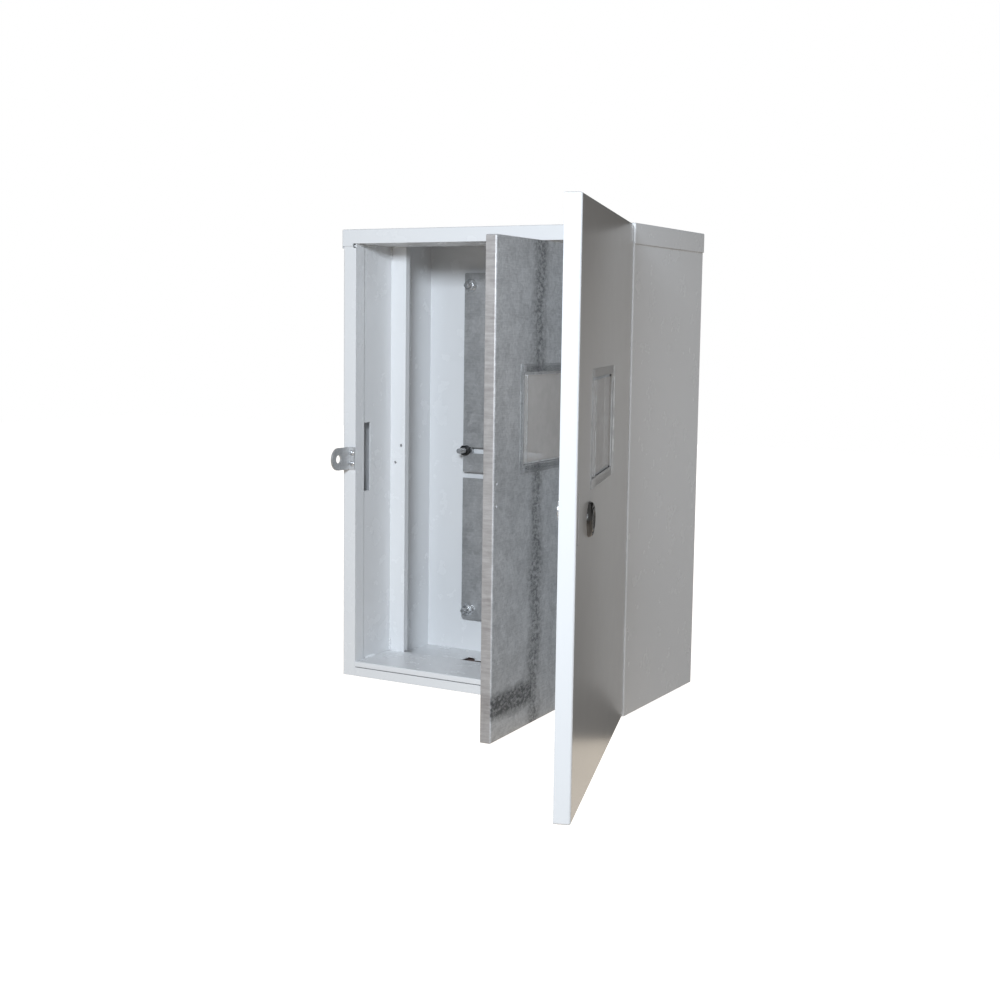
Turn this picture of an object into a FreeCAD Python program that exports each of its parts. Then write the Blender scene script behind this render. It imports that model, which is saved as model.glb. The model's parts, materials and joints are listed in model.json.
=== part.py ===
import math
import os
import re

import FreeCAD
import Part  # registers the solid types

# A wall-hung sheet-steel meter cabinet: a folded shell with a separate roof cap, an outer door with
# a window, a cam lock and a padlock lug, an inner sealing door with its own window, and a slotted
# mounting plate on four studs. Both doors stand open. Millimetres and degrees.
# X runs to the right, Y runs back to the wall, Z runs up. Pieces are drawn from the bottom left
# corner of the shell on the plane of its front flanges. Each finished piece is then moved so that
# the origin of the model is on the wall plane, at the centre of the pattern of wall holes.

doc = FreeCAD.newDocument("meter_cabinet")
dims = doc.addObject("Spreadsheet::Sheet", "dims")

DRIVING_DIMENSIONS = (
    ("cabinet_width", 316),
    ("cabinet_height", 450),
    ("cabinet_depth", 164),
    ("sheet", 1),
    ("bend_radius", 1.5),
    ("flange_width", 15),
    ("flange_return", 15),
    ("lining_front", 4),
    # roof cap
    ("cap_sheet", 1.2),
    ("cap_overhang", 1.2),
    ("cap_front_skirt", 14),
    ("cap_corner_skirt", 16.5),
    ("corner_relief_width", 3.5),
    ("corner_relief_drop", 1.5),
    ("cap_side_skirt", 18.5),
    # frame of the front recess
    ("recess_depth", 65),
    ("recess_bottom", 15),
    ("recess_top", 436),
    ("post_width", 17),
    ("post_lip", 7),
    ("sill_setback", 0.4),
    ("floor_lip", 9),
    ("floor_seam", 0.6),
    ("floor_top", 2),
    # cam slot in the left lining, and the sealing holes in the left post
    ("cam_slot_front", 15),
    ("cam_slot_back", 27.5),
    ("cam_slot_bottom", 188.5),
    ("cam_slot_top", 258),
    ("seal_hole_radius", 1.5),
    ("upper_seal_height", 232.5),
    ("lower_seal_height", 214.5),
    ("upper_seal_inset", 27),
    ("lower_seal_inset", 20),
    # floor openings
    ("cable_slot_left", 72),
    ("cable_slot_front", 106),
    ("cable_slot_back", 124),
    ("cable_lobe_radius", 12.5),
    ("cable_lobe_setback", 121),
    ("drain_inset", 56),
    ("drain_setback", 156),
    ("drain_radius", 2),
    # holes for the wall screws
    ("wall_hole_radius", 4.5),
    ("wall_hole_spacing_across", 136),
    ("wall_hole_spacing_up", 330),
    # outer door
    ("outer_door_face", -15),
    ("outer_door_gap", 2.2),
    ("outer_hinge_side_gap", 4.2),
    ("outer_door_end_gap", 1),
    ("outer_bend_radius", 1.8),
    ("outer_hinge_inset", 5),
    ("outer_hinge_forward", -8.5),
    ("outer_open_angle", 108),
    ("outer_hinge_height", 50),
    ("outer_tab_radius", 3.5),
    ("outer_tab_sheet", 2),
    ("outer_pin_radius", 2),
    ("outer_pin_tail", 2),
    ("outer_pin_head_rim", 1.2),
    ("outer_pin_head_height", 1.5),
    ("outer_hinge_lift", 0.3),
    ("hinge_clearance", 0.05),
    ("bracket_height", 18),
    ("bracket_sheet", 1.5),
    ("bracket_left", 8.5),
    ("bracket_right", 1.5),
    ("bracket_notch_margin", 3),
    # padlock lug
    ("lug_inset", 7),
    ("lug_sheet", 1.8),
    ("lug_base_width", 7.8),
    ("lug_reach", 31.3),
    ("lug_radius", 11.2),
    ("lug_hole_radius", 4.25),
    ("lug_height", 223),
    ("lug_slot_width", 5.4),
    ("lug_slot_inset", 5.9),
    ("lug_slot_bottom", 203),
    ("lug_slot_top", 240),
    ("rivet_radius", 1.6),
    ("rivet_head_radius", 2.8),
    ("rivet_head_height", 1.2),
    ("rivet_spacing", 10.8),
    ("rivet_clinch_rim", 0.5),
    ("rivet_clinch_height", 1),
    # lock
    ("lock_inset", 65),
    ("lock_height", 215),
    ("lock_rosette_radius", 13.4),
    ("lock_rosette_height", 3.7),
    ("lock_barrel_radius", 10),
    ("lock_barrel_end", 1.5),
    ("lock_nut_flats", 26),
    ("lock_nut_height", 5),
    ("lock_plug_radius", 6),
    ("lock_plug_recess", 0.4),
    ("lock_plug_end", 2),
    ("lock_square", 8),
    ("key_slot_width", 1.8),
    ("key_slot_height", 8),
    ("key_slot_depth", 9),
    ("cam_sheet", 1.5),
    ("cam_width", 14),
    ("cam_reach", 60),
    ("cam_crank", 49.5),
    ("cam_tip_front", 15.1),
    ("cam_screw_radius", 2.1),
    ("cam_screw_length", 7.5),
    ("cam_screw_flats", 8),
    ("cam_screw_head", 2),
    ("cam_screw_washer_radius", 6),
    ("cam_screw_washer_sheet", 1),
    # windows, the same in both doors
    ("window_left", 68),
    ("window_bottom", 236.5),
    ("window_width", 126),
    ("window_height", 90),
    ("window_rim", 7),
    ("window_rim_height", 2.2),
    ("window_wall", 2),
    ("window_wall_depth", 6),
    ("window_fit", 0.3),
    ("pane_sheet", 2),
    ("pane_setback", 0.5),
    ("retainer_width", 5),
    ("retainer_sheet", 1.5),
    # inner door
    ("inner_door_left", 22),
    ("inner_door_right", 283),
    ("inner_door_face", 55),
    ("inner_door_depth", 9.5),
    ("inner_door_bottom", 21),
    ("inner_door_top", 428),
    ("inner_hinge_across", 285.5),
    ("inner_hinge_forward", 52.5),
    ("inner_open_angle", 92.5),
    ("inner_hinge_low", 90),
    ("inner_hinge_high", 360),
    ("knuckle_radius", 3),
    ("knuckle_height", 12),
    ("knuckle_gap", 0.4),
    ("inner_pin_radius", 1.5),
    ("inner_pin_tail", 1),
    ("inner_pin_head_rim", 0.8),
    ("inner_pin_head_height", 1),
    ("inner_pin_head_lift", 0.3),
    ("leaf_sheet", 1.5),
    ("leaf_reach", 24),
    ("foot_reach", 13),
    # mounting plate
    ("plate_inset", 48.5),
    ("plate_front", 155),
    ("plate_sheet", 1.5),
    ("plate_bottom", 38.3),
    ("plate_top", 413),
    ("plate_corner_radius", 2),
    ("stud_inset", 8.1),
    ("lower_stud_height", 48.9),
    ("upper_stud_height", 399.7),
    ("stud_radius", 3),
    ("stud_tip", 143),
    ("stud_hole_clearance", 0.3),
    ("standoff_radius", 6),
    ("flange_nut_flats", 10),
    ("flange_nut_height", 6),
    ("flange_nut_radius", 7),
    ("flange_nut_flange", 1.5),
    ("meter_slot_height", 6.5),
    ("meter_slot_right", 146.5),
    ("upper_meter_slot", 223.3),
    ("lower_meter_slot", 196.4),
    ("meter_bolt_inset", 52.8),
    ("meter_bolt_tip", 138),
    ("meter_washer_radius", 5.2),
    ("meter_washer_sheet", 1.2),
    ("meter_nut_flats", 10),
    ("meter_nut_height", 5),
    ("meter_head_radius", 6.5),
    ("meter_head_height", 2.5),
    # earth stud on the right wall
    ("earth_setback", 110),
    ("earth_height", 40),
    ("earth_length", 18),
    ("earth_radius", 3),
    ("earth_nut_flats", 10),
    ("earth_nut_height", 5),
    ("earth_washer_radius", 6),
    ("earth_washer_sheet", 1.2),
)

for row, (alias, value) in enumerate(DRIVING_DIMENSIONS, 1):
    dims.set(f"A{row}", alias)
    dims.set(f"B{row}", str(value))
    dims.setAlias(f"B{row}", alias)
doc.recompute()

# A carrier is what a piece is fixed to: the place of its axis in the closed cabinet and how far it
# stands open. Pieces on a door are drawn where they are with the door closed.
CABINET = ("0", "0", "0")
MODEL_ORIGIN = ("cabinet_width / 2", "cabinet_depth", "cabinet_height / 2")
OUTER_DOOR = ("cabinet_width - outer_hinge_inset", "outer_hinge_forward", "outer_open_angle")
INNER_DOOR = ("inner_hinge_across", "inner_hinge_forward", "inner_open_angle")

ALIASES = {alias for alias, _ in DRIVING_DIMENSIONS}
nodes = []


def expression(text):
    """Turns a formula of plain aliases into one that reads them from the sheet."""
    return re.sub(r"[a-z_]+", lambda m: "dims." + m.group(0) if m.group(0) in ALIASES else m.group(0), text)


def bind(thing, **formulas):
    for path, text in formulas.items():
        thing.setExpression(path.replace("__", "."), expression(text))


def new(kind):
    return doc.addObject(kind, "piece")


def move_to(thing, carrier, x, y, z):
    bind(
        thing,
        Placement__Base__x=f"({x}) - ({carrier[0]})",
        Placement__Base__y=f"({y}) - ({carrier[1]})",
        Placement__Base__z=z,
    )


def box(carrier, x_span, y_span, z_span):
    """A block between two faces along each axis."""
    block = new("Part::Box")
    bind(
        block,
        Length=f"({x_span[1]}) - ({x_span[0]})",
        Width=f"({y_span[1]}) - ({y_span[0]})",
        Height=f"({z_span[1]}) - ({z_span[0]})",
    )
    move_to(block, carrier, x_span[0], y_span[0], z_span[0])
    return block


PRIMITIVES = {"Part::Box", "Part::Cylinder", "Part::Prism"}

AXIS_TURNS = {
    "x": FreeCAD.Rotation(FreeCAD.Vector(0, 1, 0), 90),
    "y": FreeCAD.Rotation(FreeCAD.Vector(1, 0, 0), -90),
    "z": FreeCAD.Rotation(),
}


def cylinder(carrier, axis, start, length, radius):
    """A round bar from its start point along an axis."""
    bar = new("Part::Cylinder")
    bar.Placement = FreeCAD.Placement(FreeCAD.Vector(), AXIS_TURNS[axis])
    bind(bar, Radius=radius, Height=length)
    move_to(bar, carrier, *start)
    return bar


def hexagon(carrier, axis, start, length, flats):
    """A hexagonal bar, such as a nut's body, measured across its flats."""
    bar = new("Part::Prism")
    bar.Placement = FreeCAD.Placement(FreeCAD.Vector(), AXIS_TURNS[axis])
    bar.Polygon = 6
    bind(bar, Circumradius=f"({flats}) / sqrt(3)", Height=length)
    move_to(bar, carrier, *start)
    return bar


def fuse(*pieces):
    whole = new("Part::MultiFuse")
    whole.Shapes = list(pieces)
    whole.Refine = True
    return whole


def cut(base, *tools):
    """The base less the tools."""
    result = new("Part::Cut")
    result.Base = base
    result.Tool = tools[0] if len(tools) == 1 else fuse(*tools)
    result.Refine = True
    return result


def rounded(base, radius_alias, wanted, less="0"):
    """Rounds the edges that the wanted function picks."""
    doc.recompute()
    size = dims.get(radius_alias) - (dims.get(less) if less != "0" else 0)
    numbers = [n for n, edge in enumerate(base.Shape.Edges, 1) if wanted(edge, base.Shape.BoundBox)]
    result = new("Part::Fillet")
    result.Base = base
    result.Edges = [(n, size, size) for n in numbers]
    return result


TOLERANCE = 1e-6


def along(edge, axis):
    start, end = (vertex.Point for vertex in edge.Vertexes)
    return abs(abs((end - start).normalize().dot(axis)) - 1) < TOLERANCE


def vertical(edge, _bounds):
    return along(edge, FreeCAD.Vector(0, 0, 1))


def front_or_corner(edge, bounds):
    return along(edge, FreeCAD.Vector(0, 1, 0)) or abs(edge.CenterOfMass.y - bounds.YMin) < TOLERANCE


def top_or_vertical(edge, bounds):
    return along(edge, FreeCAD.Vector(0, 0, 1)) or abs(edge.CenterOfMass.z - bounds.ZMax) < TOLERANCE


def front_corner(edge, bounds):
    """The long edge at the front and top of a ledge."""
    at_front = abs(edge.CenterOfMass.y - bounds.YMin) < TOLERANCE
    at_top = abs(edge.CenterOfMass.z - bounds.ZMax) < TOLERANCE
    return at_front and at_top


def front_circle(edge, bounds):
    return len(edge.Vertexes) == 1 and abs(edge.CenterOfMass.y - bounds.YMin) < TOLERANCE


def gathered(pieces):
    """A holder with a Placement of its own, for one primitive or for identical separate solids."""
    whole = new("Part::Compound")
    whole.Links = pieces
    return whole


def node(label, piece, carrier=CABINET):
    """Names a finished piece and puts it on its carrier, turned as far as the carrier stands open."""
    if piece.TypeId in PRIMITIVES:
        piece = gathered([piece])
    piece.Label = label
    upright = FreeCAD.Vector(0, 0, 1)
    piece.Placement = FreeCAD.Placement(FreeCAD.Vector(), FreeCAD.Rotation(upright, 1))
    bind(
        piece,
        Placement__Base__x=f"({carrier[0]}) - {MODEL_ORIGIN[0]}",
        Placement__Base__y=f"({carrier[1]}) - {MODEL_ORIGIN[1]}",
        Placement__Base__z=f"-{MODEL_ORIGIN[2]}",
        Placement__Rotation__Angle=carrier[2],
    )
    nodes.append(piece)


def group(label, pieces):
    node(label, gathered(pieces))


# ---------------------------------------------------------------- shell, cap, floor and recess frame

INNER_FACE_RIGHT = "cabinet_width - sheet"
INNER_FACE_BACK = "cabinet_depth - sheet"
ROOF_UNDERSIDE = "cabinet_height - cap_sheet"
BETWEEN_FLANGES = ("flange_width", "cabinet_width - flange_width")
BETWEEN_LININGS = ("flange_width - sheet", "cabinet_width - flange_width + sheet")
BEHIND_RETURN = ("flange_return", "recess_depth + sheet")


def wall_holes():
    holes = []
    for side in ("-", "+"):
        for end in ("-", "+"):
            x = f"cabinet_width / 2 {side} wall_hole_spacing_across / 2"
            z = f"cabinet_height / 2 {end} wall_hole_spacing_up / 2"
            start = (x, f"{INNER_FACE_BACK} - 1", z)
            holes.append(cylinder(CABINET, "y", start, "sheet + 2", "wall_hole_radius"))
    return holes


def lug_rivet_places():
    x = "lug_inset + lug_sheet + (lug_base_width - lug_sheet) / 2"
    return [(x, f"lug_height {side} rivet_spacing / 2") for side in ("-", "+")]


def cam_slot():
    return box(
        CABINET,
        ("flange_width - 3 * sheet", "flange_width + 1"),
        ("cam_slot_front", "cam_slot_back"),
        ("cam_slot_bottom", "cam_slot_top"),
    )


def corner_reliefs():
    """Notches at the top of the flanges, where their inner edges meet the cap's front skirt."""
    low = "cabinet_height - cap_corner_skirt - corner_relief_drop"
    right = "cabinet_width - flange_width"
    return [
        box(CABINET, x_span, ("-1", "sheet"), (low, "cabinet_height"))
        for x_span in (
            ("flange_width - corner_relief_width", "flange_width"),
            (right, f"{right} + corner_relief_width"),
        )
    ]


def cabinet_shell():
    """Side walls and back in one wrap, with front flanges that turn in again beside the opening."""
    outside = box(CABINET, ("0", "cabinet_width"), ("0", "cabinet_depth"), ("0", ROOF_UNDERSIDE))
    inside = box(CABINET, ("sheet", INNER_FACE_RIGHT), ("sheet", INNER_FACE_BACK), ("-1", "cabinet_height"))
    opening = box(CABINET, BETWEEN_FLANGES, ("-1", "sheet + 1"), ("-1", "cabinet_height"))
    rivet_holes = [
        cylinder(CABINET, "y", (x, "-1", z), "sheet + 2", "rivet_radius") for x, z in lug_rivet_places()
    ]
    hollow = rounded(inside, "bend_radius", vertical, less="sheet")
    wrap = cut(rounded(outside, "bend_radius", vertical), hollow)
    returns = [
        box(CABINET, x_span, ("0", "flange_return"), ("floor_top", ROOF_UNDERSIDE))
        for x_span in (
            ("flange_width - sheet", "flange_width"),
            ("cabinet_width - flange_width", "cabinet_width - flange_width + sheet"),
        )
    ]
    folded = fuse(cut(wrap, opening), *returns)
    node("cabinet_shell", cut(folded, *corner_reliefs(), *wall_holes(), *rivet_holes))


def roof_cap():
    edge_right = "cabinet_width + cap_overhang"
    low = "cabinet_height - cap_side_skirt"
    outside = box(
        CABINET, ("-cap_overhang", edge_right), ("-cap_overhang", "cabinet_depth"), (low, "cabinet_height")
    )
    inside = box(
        CABINET, ("0", "cabinet_width"), ("0", "cabinet_depth + 1"), (f"{low} - 1", ROOF_UNDERSIDE)
    )
    front_y = ("-cap_overhang - 1", "1")
    under_front = box(
        CABINET, ("0", "cabinet_width"), front_y, (f"{low} - 1", "cabinet_height - cap_corner_skirt")
    )
    opening_x = ("flange_width - corner_relief_width", "cabinet_width - flange_width + corner_relief_width")
    over_opening = box(CABINET, opening_x, front_y, (f"{low} - 1", "cabinet_height - cap_front_skirt"))
    blank = rounded(outside, "bend_radius", top_or_vertical)
    node("roof_cap", cut(blank, inside, under_front, over_opening))


def floor_pan():
    plate = box(
        CABINET, ("sheet", INNER_FACE_RIGHT), ("sheet", INNER_FACE_BACK), ("floor_top - sheet", "floor_top")
    )
    lip = box(CABINET, BETWEEN_FLANGES, ("0", "sheet"), ("0", "floor_lip"))
    slot_ends = ("cable_slot_left", "cabinet_width - cable_slot_left")
    slot = box(CABINET, slot_ends, ("cable_slot_front", "cable_slot_back"), ("-1", "floor_top + 1"))
    beyond_ends = (("0", slot_ends[0]), (slot_ends[1], "cabinet_width"))
    lobes = [
        cut(
            cylinder(CABINET, "z", (x, "cable_lobe_setback", "-1"), "floor_top + 2", "cable_lobe_radius"),
            box(CABINET, beyond, ("0", "cabinet_depth"), ("-2", "floor_top + 2")),
        )
        for x, beyond in zip(slot_ends, beyond_ends)
    ]
    drains = [
        cylinder(CABINET, "z", (x, "drain_setback", "-1"), "floor_top + 2", "drain_radius")
        for x in ("drain_inset", "cabinet_width - drain_inset")
    ]
    node("floor_pan", cut(fuse(plate, lip), slot, *lobes, *drains))


def sill():
    front = "sill_setback"
    rear = "recess_depth + sheet"
    z_span = ("floor_top", "recess_bottom")
    solid = fuse(
        box(CABINET, BETWEEN_FLANGES, (front, rear), z_span),
        box(CABINET, BETWEEN_LININGS, BEHIND_RETURN, z_span),
    )
    hollow = box(
        CABINET,
        ("0", "cabinet_width"),
        (f"{front} + sheet", f"{rear} - sheet"),
        ("0", "recess_bottom - sheet"),
    )
    below_nose = box(
        CABINET, ("0", "cabinet_width"), ("-1", f"{front} + sheet + 1"), ("0", "floor_lip + floor_seam")
    )
    node("sill", cut(rounded(solid, "sheet", front_corner), hollow, below_nose))


def header():
    z_span = ("recess_top", ROOF_UNDERSIDE)
    solid = fuse(
        box(CABINET, BETWEEN_FLANGES, ("0", "recess_depth + sheet"), z_span),
        box(CABINET, BETWEEN_LININGS, BEHIND_RETURN, z_span),
    )
    hollow = box(
        CABINET, ("0", "cabinet_width"), ("sheet", "recess_depth"), ("recess_top + sheet", "cabinet_height")
    )
    node("header", cut(solid, hollow))


def jamb(side):
    """One side of the recess: the lining, the post that the inner door shuts on, and its lip."""
    if side == "left":
        lining_span = ("flange_width - 2 * sheet", "flange_width - sheet")
        post_span = ("flange_width - 2 * sheet", "flange_width + post_width")
        lip_span = ("flange_width + post_width - sheet", "flange_width + post_width")
    else:
        lining_span = ("cabinet_width - flange_width + sheet", "cabinet_width - flange_width + 2 * sheet")
        post_span = ("cabinet_width - flange_width - post_width", lining_span[1])
        lip_span = (post_span[0], f"{post_span[0]} + sheet")
    height_span = ("recess_bottom", "recess_top")
    lining = box(CABINET, lining_span, ("lining_front", "recess_depth + sheet"), height_span)
    post = box(CABINET, post_span, ("recess_depth", "recess_depth + sheet"), height_span)
    lip = box(
        CABINET, lip_span, ("recess_depth", "recess_depth + post_lip"),
        ("recess_bottom + sheet", "recess_top - sheet")
    )
    profile = fuse(lining, post, lip)
    if side == "left":
        upper = ("upper_seal_inset", "recess_depth - 1", "upper_seal_height")
        lower = ("lower_seal_inset", "recess_depth - 1", "lower_seal_height")
        seal_holes = [
            cylinder(CABINET, "y", start, "sheet + 2", "seal_hole_radius") for start in (upper, lower)
        ]
        profile = cut(profile, cam_slot(), *seal_holes)
    node(f"{side}_jamb", profile)


# ---------------------------------------------------------------- windows

WINDOW_RIGHT = "window_left + window_width"
WINDOW_TOP = "window_bottom + window_height"


def window_block(carrier, inset, y_span):
    """A block with the window's outline moved in by an inset."""
    return box(
        carrier,
        (f"window_left + ({inset})", f"{WINDOW_RIGHT} - ({inset})"),
        y_span,
        (f"window_bottom + ({inset})", f"{WINDOW_TOP} - ({inset})"),
    )


def window_cutout(carrier, face):
    return window_block(carrier, "window_rim - window_fit", (f"{face} - 1", f"{face} + sheet + 1"))


def window(door_name, carrier, face):
    rim = window_block(carrier, "0", (f"{face} - window_rim_height", face))
    wall = window_block(carrier, "window_rim", (face, f"{face} + window_wall_depth"))
    clear = window_block(
        carrier,
        "window_rim + window_wall",
        (f"{face} - window_rim_height - 1", f"{face} + window_wall_depth + 1"),
    )
    soft_rim = rounded(rim, "bend_radius", front_or_corner)
    node(f"{door_name}_window_frame", cut(fuse(soft_rim, wall), clear), carrier)
    pane_front = f"{face} + pane_setback"
    pane = window_block(carrier, "window_rim + window_wall", (pane_front, f"{pane_front} + pane_sheet"))
    node(f"{door_name}_window_pane", pane, carrier)
    skin_back = f"{face} + sheet"
    ring_back = f"{skin_back} + retainer_sheet"
    ring = window_block(carrier, "window_rim - retainer_width", (skin_back, ring_back))
    ring_hole = window_block(carrier, "window_rim", (f"{skin_back} - 1", f"{ring_back} + 1"))
    node(f"{door_name}_window_retainer", cut(ring, ring_hole), carrier)


# ---------------------------------------------------------------- outer door, its hinges and its lock

OUTER_SKIN_BACK = "outer_door_face + sheet"
OUTER_AXIS = (OUTER_DOOR[0], OUTER_DOOR[1])
OUTER_HINGE_HEIGHTS = (("lower", "outer_hinge_height"), ("upper", "cabinet_height - outer_hinge_height"))


def outer_door():
    low = "outer_door_end_gap"
    high = "cabinet_height - outer_door_end_gap"
    outside = box(OUTER_DOOR, ("0", "cabinet_width"), ("outer_door_face", "-outer_door_gap"), (low, high))
    inside = box(
        OUTER_DOOR,
        ("sheet", INNER_FACE_RIGHT),
        (OUTER_SKIN_BACK, "0"),
        (f"{low} + sheet", f"{high} - sheet"),
    )
    hinge_relief = box(
        OUTER_DOOR,
        (f"{INNER_FACE_RIGHT} - sheet", "cabinet_width + 1"),
        ("-outer_hinge_side_gap", "0"),
        ("0", "cabinet_height"),
    )
    half_notch = "(bracket_height / 2 + bracket_notch_margin)"
    notches = [
        box(
            OUTER_DOOR,
            (INNER_FACE_RIGHT, "cabinet_width + 1"),
            (f"{OUTER_SKIN_BACK} + bend_radius", "0"),
            (f"{z} - {half_notch}", f"{z} + {half_notch}"),
        )
        for _, z in OUTER_HINGE_HEIGHTS
    ]
    lock_hole = lock_bar("outer_door_face - 1", "sheet + 2", "lock_barrel_radius")
    lug_slot = box(
        OUTER_DOOR,
        ("lug_slot_inset", "lug_slot_inset + lug_slot_width"),
        ("outer_door_face - 1", f"{OUTER_SKIN_BACK} + 1"),
        ("lug_slot_bottom", "lug_slot_top"),
    )
    hollow = rounded(inside, "outer_bend_radius", front_or_corner, less="sheet")
    pan = cut(rounded(outside, "outer_bend_radius", front_or_corner), hollow)
    openings = [window_cutout(OUTER_DOOR, "outer_door_face"), lock_hole, lug_slot]
    node("outer_door", cut(pan, hinge_relief, *notches, *openings), OUTER_DOOR)


def outer_hinge(end, height):
    """A bracket on the right front flange, a tab inside the door, and the pin through both."""
    axis_x, axis_y = OUTER_AXIS
    tab_left = f"{axis_x} - outer_tab_radius"
    tab_right = f"{axis_x} + outer_tab_radius"
    bracket_right = f"{axis_x} + bracket_right"
    low = f"{height} - outer_tab_sheet / 2"
    high = f"{height} + outer_tab_sheet / 2"
    base = box(
        CABINET,
        (f"{axis_x} - bracket_left", bracket_right),
        ("-bracket_sheet", "0"),
        (f"{height} - bracket_height / 2", f"{height} + bracket_height / 2"),
    )
    arm = box(CABINET, (tab_left, bracket_right), (axis_y, "-bracket_sheet"), (low, high))
    nose = cylinder(CABINET, "z", (axis_x, axis_y, low), "outer_tab_sheet", "outer_tab_radius")
    bore = cylinder(
        CABINET, "z", (axis_x, axis_y, f"{low} - 1"), "outer_tab_sheet + 2", "outer_pin_radius"
    )
    node(f"{end}_outer_hinge_bracket", cut(fuse(base, arm, nose), bore))

    door_low = f"{high} + outer_hinge_lift"
    door_high = f"{door_low} + outer_tab_sheet"
    door_arm = box(OUTER_DOOR, (tab_left, tab_right), (OUTER_SKIN_BACK, axis_y), (door_low, door_high))
    door_nose = cylinder(
        OUTER_DOOR, "z", (axis_x, axis_y, door_low), "outer_tab_sheet", "outer_tab_radius"
    )
    door_bore = cylinder(
        OUTER_DOOR, "z", (axis_x, axis_y, f"{door_low} - 1"),
        "outer_tab_sheet + 2", "outer_pin_radius + hinge_clearance"
    )
    node(f"{end}_outer_hinge_tab", cut(fuse(door_arm, door_nose), door_bore), OUTER_DOOR)

    head_low = f"{door_high} + outer_hinge_lift"
    tail = f"{low} - outer_pin_tail"
    shank = cylinder(CABINET, "z", (axis_x, axis_y, tail), f"({head_low}) - ({tail})", "outer_pin_radius")
    head = cylinder(
        CABINET, "z", (axis_x, axis_y, head_low),
        "outer_pin_head_height", "outer_pin_radius + outer_pin_head_rim"
    )
    node(f"{end}_outer_hinge_pin", fuse(shank, head))


LOCK_AXIS = ("lock_inset", "lock_height")
ROSETTE_FRONT = "outer_door_face - lock_rosette_height"
CAM_FRONT = "lock_plug_end"
CAM_BACK = "lock_plug_end + cam_sheet"


def lock_bar(start, length, radius):
    """A round bar on the lock's axis, running back from its start."""
    x, z = LOCK_AXIS
    return cylinder(OUTER_DOOR, "y", (x, start, z), length, radius)


def lock_square(start, end):
    """A square bar on the lock's axis, which the cam is keyed to."""
    x, z = LOCK_AXIS
    return box(
        OUTER_DOOR,
        (f"{x} - lock_square / 2", f"{x} + lock_square / 2"),
        (start, end),
        (f"{z} - lock_square / 2", f"{z} + lock_square / 2"),
    )


def lock_body():
    rosette = lock_bar(ROSETTE_FRONT, "lock_rosette_height", "lock_rosette_radius")
    length = "lock_barrel_end - (outer_door_face)"
    barrel = lock_bar("outer_door_face", length, "lock_barrel_radius")
    bore = lock_bar(
        f"{ROSETTE_FRONT} - 1", f"{length} + lock_rosette_height + 2", "lock_plug_radius + hinge_clearance"
    )
    node("lock_body", cut(fuse(rounded(rosette, "bend_radius", front_circle), barrel), bore), OUTER_DOOR)

    x, z = LOCK_AXIS
    nut = hexagon(OUTER_DOOR, "y", (x, OUTER_SKIN_BACK, z), "lock_nut_height", "lock_nut_flats")
    nut_bore = lock_bar(f"{OUTER_SKIN_BACK} - 1", "lock_nut_height + 2", "lock_barrel_radius")
    node("lock_nut", cut(nut, nut_bore), OUTER_DOOR)


def lock_plug():
    x, z = LOCK_AXIS
    front = f"{ROSETTE_FRONT} + lock_plug_recess"
    plug = lock_bar(front, f"lock_plug_end - ({front})", "lock_plug_radius")
    key_slot = box(
        OUTER_DOOR,
        (f"{x} - key_slot_width / 2", f"{x} + key_slot_width / 2"),
        (f"{front} - 1", f"{front} + key_slot_depth"),
        (f"{z} - key_slot_height / 2", f"{z} + key_slot_height / 2"),
    )
    screw_hole = lock_bar(f"{CAM_BACK} - cam_screw_length", "cam_screw_length + 1", "cam_screw_radius")
    node("lock_plug", cut(fuse(plug, lock_square(CAM_FRONT, CAM_BACK)), key_slot, screw_hole), OUTER_DOOR)


def lock_cam():
    """A cranked strip: a hub on the lock, a step back, and a tip that enters the slot in the jamb."""
    x, z = LOCK_AXIS
    edges = (f"{z} - cam_width / 2", f"{z} + cam_width / 2")
    step_end = f"{x} + cam_crank"
    step_start = f"{step_end} - cam_sheet"
    tip_back = "cam_tip_front + cam_sheet"
    tip_centre = f"{x} + cam_reach - cam_width / 2"
    hub = lock_bar(CAM_FRONT, "cam_sheet", "cam_width / 2")
    arm = box(OUTER_DOOR, (x, step_end), (CAM_FRONT, CAM_BACK), edges)
    step = box(OUTER_DOOR, (step_start, step_end), (CAM_FRONT, tip_back), edges)
    tip = box(OUTER_DOOR, (step_start, tip_centre), ("cam_tip_front", tip_back), edges)
    tip_end = cylinder(OUTER_DOOR, "y", (tip_centre, "cam_tip_front", z), "cam_sheet", "cam_width / 2")
    keyed = lock_square(f"{CAM_FRONT} - 1", f"{CAM_BACK} + 1")
    node("lock_cam", cut(fuse(hub, arm, step, tip, tip_end), keyed), OUTER_DOOR)

    screw_head = hexagon(OUTER_DOOR, "y", (x, CAM_BACK, z), "cam_screw_head", "cam_screw_flats")
    washer = lock_bar(CAM_BACK, "cam_screw_washer_sheet", "cam_screw_washer_radius")
    shank = lock_bar(f"{CAM_BACK} - cam_screw_length", "cam_screw_length", "cam_screw_radius")
    node("cam_screw", fuse(screw_head, washer, shank), OUTER_DOOR)


# ---------------------------------------------------------------- padlock lug

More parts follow.
